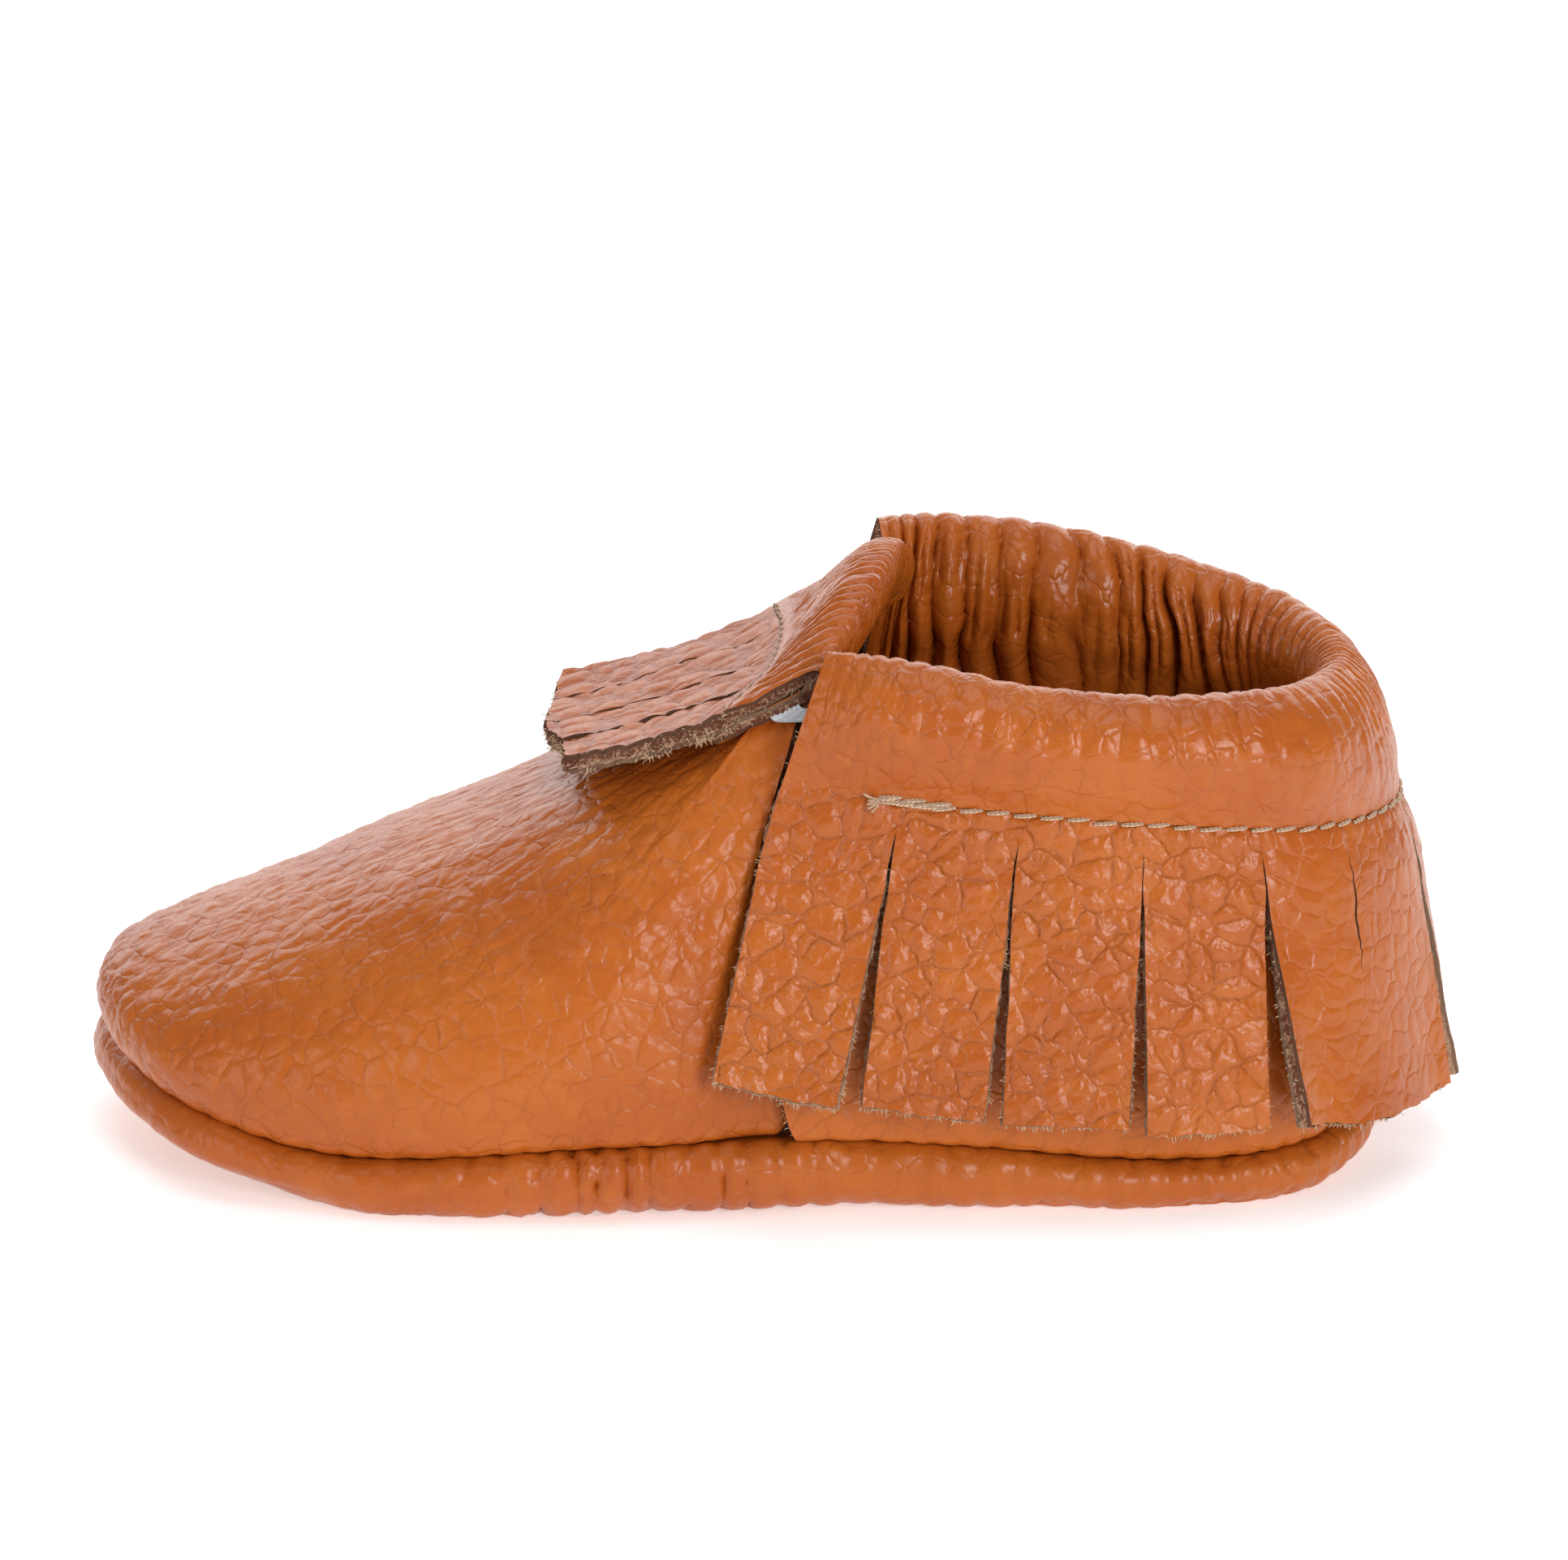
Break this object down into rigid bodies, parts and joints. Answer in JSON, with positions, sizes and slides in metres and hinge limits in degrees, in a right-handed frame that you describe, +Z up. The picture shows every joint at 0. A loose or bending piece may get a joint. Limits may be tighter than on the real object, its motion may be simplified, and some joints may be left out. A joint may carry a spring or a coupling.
{
  "type": "soft-soled baby moccasin",
  "caption": "Soft leather baby moccasin: gathered sole tray, toe piece, lapped heel piece, elasticated rolled collar hanging as fringe, and a tongue roll with a fringed flap.",
  "frame": {"origin": "on the ground, under the middle of the bounding box", "axes": "+X from toe to heel, +Z up, +Y to the far side of the shoe seen with its toe to the left"},
  "size_m": [0.1366, 0.0666, 0.059],
  "materials": {
    "leather": "tan pebbled full-grain leather, satin, with raw suede cut edges",
    "elastic": "white woven elastic",
    "thread": "beige polyester thread"
  },
  "bodies": {
    "shoe": {"sole": "leather", "toe_piece": "leather", "heel_piece": "leather", "collar": "leather", "tongue": "leather", "elastic_band": "elastic", "collar_thread": "thread", "tongue_thread": "thread", "sole_thread": "thread"},
    "fringe_01": {"fringe_01": "leather"},
    "fringe_02": {"fringe_02": "leather"},
    "fringe_03": {"fringe_03": "leather"},
    "fringe_04": {"fringe_04": "leather"},
    "fringe_05": {"fringe_05": "leather"},
    "fringe_06": {"fringe_06": "leather"},
    "fringe_07": {"fringe_07": "leather"},
    "fringe_08": {"fringe_08": "leather"},
    "fringe_09": {"fringe_09": "leather"},
    "fringe_10": {"fringe_10": "leather"},
    "fringe_11": {"fringe_11": "leather"},
    "tongue_strip_1": {"tongue_strip_1": "leather"},
    "tongue_strip_2": {"tongue_strip_2": "leather"},
    "tongue_strip_3": {"tongue_strip_3": "leather"},
    "tongue_strip_4": {"tongue_strip_4": "leather"}
  },
  "joints": [
    {"name": "fringe_01_swing", "type": "hinge", "parent": "shoe", "child": "fringe_01", "pos_m": [0.00651, -0.0235, 0.03865], "axis": [-0.9857, 0.0622, 0.1569], "range_deg": [-1, 80], "stiffness_Nm_per_rad": 0.0006},
    {"name": "fringe_02_swing", "type": "hinge", "parent": "shoe", "child": "fringe_02", "pos_m": [0.0181, -0.02388, 0.03744], "axis": [-0.9962, 0.0134, 0.0856], "range_deg": [-1, 80], "stiffness_Nm_per_rad": 0.0006},
    {"name": "fringe_03_swing", "type": "hinge", "parent": "shoe", "child": "fringe_03", "pos_m": [0.02985, -0.02398, 0.03649], "axis": [-0.9967, -0.0184, 0.0786], "range_deg": [-1, 80], "stiffness_Nm_per_rad": 0.0006},
    {"name": "fringe_04_swing", "type": "hinge", "parent": "shoe", "child": "fringe_04", "pos_m": [0.04139, -0.0227, 0.03548], "axis": [-0.9724, -0.2129, 0.0958], "range_deg": [-1, 80], "stiffness_Nm_per_rad": 0.0006},
    {"name": "fringe_05_swing", "type": "hinge", "parent": "shoe", "child": "fringe_05", "pos_m": [0.05612, -0.01465, 0.03378], "axis": [-0.6433, -0.7611, 0.0834], "range_deg": [-1, 80], "stiffness_Nm_per_rad": 0.0012},
    {"name": "fringe_06_swing", "type": "hinge", "parent": "shoe", "child": "fringe_06", "pos_m": [0.0616, 0.00175, 0.03302], "axis": [0.0868, -0.9962, -0.0112], "range_deg": [-1, 80], "stiffness_Nm_per_rad": 0.0006},
    {"name": "fringe_07_swing", "type": "hinge", "parent": "shoe", "child": "fringe_07", "pos_m": [0.05711, 0.01319, 0.03363], "axis": [0.5656, -0.8208, -0.0793], "range_deg": [-1, 80], "stiffness_Nm_per_rad": 0.0006},
    {"name": "fringe_08_swing", "type": "hinge", "parent": "shoe", "child": "fringe_08", "pos_m": [0.0477, 0.02092, 0.03483], "axis": [0.9223, -0.3727, -0.102], "range_deg": [-1, 80], "stiffness_Nm_per_rad": 0.0006},
    {"name": "fringe_09_swing", "type": "hinge", "parent": "shoe", "child": "fringe_09", "pos_m": [0.03541, 0.02371, 0.03608], "axis": [0.9902, -0.1046, -0.0922], "range_deg": [-1, 80], "stiffness_Nm_per_rad": 0.0006},
    {"name": "fringe_10_swing", "type": "hinge", "parent": "shoe", "child": "fringe_10", "pos_m": [0.0229, 0.02386, 0.03718], "axis": [0.9958, 0.014, -0.0908], "range_deg": [-1, 80], "stiffness_Nm_per_rad": 0.0006},
    {"name": "fringe_11_swing", "type": "hinge", "parent": "shoe", "child": "fringe_11", "pos_m": [0.01054, 0.02349, 0.03849], "axis": [0.985, 0.0671, -0.1587], "range_deg": [-1, 80], "stiffness_Nm_per_rad": 0.0006},
    {"name": "tongue_strip_1_swing", "type": "hinge", "parent": "shoe", "child": "tongue_strip_1", "pos_m": [-0.00341, -0.01377, 0.04698], "axis": [0.2573, 0.9586, 0.1216], "range_deg": [-5, 55], "stiffness_Nm_per_rad": 0.0006},
    {"name": "tongue_strip_2_swing", "type": "hinge", "parent": "shoe", "child": "tongue_strip_2", "pos_m": [-0.00181, -0.00449, 0.0477], "axis": [0.0676, 0.9974, 0.0237], "range_deg": [-5, 55], "stiffness_Nm_per_rad": 0.0006},
    {"name": "tongue_strip_3_swing", "type": "hinge", "parent": "shoe", "child": "tongue_strip_3", "pos_m": [-0.00157, 0.0046, 0.04775], "axis": [-0.0152, 0.9998, -0.0136], "range_deg": [-5, 55], "stiffness_Nm_per_rad": 0.0006},
    {"name": "tongue_strip_4_swing", "type": "hinge", "parent": "shoe", "child": "tongue_strip_4", "pos_m": [-0.0022, 0.01399, 0.04707], "axis": [-0.1135, 0.9853, -0.1274], "range_deg": [-5, 55], "stiffness_Nm_per_rad": 0.0006}
  ]
}
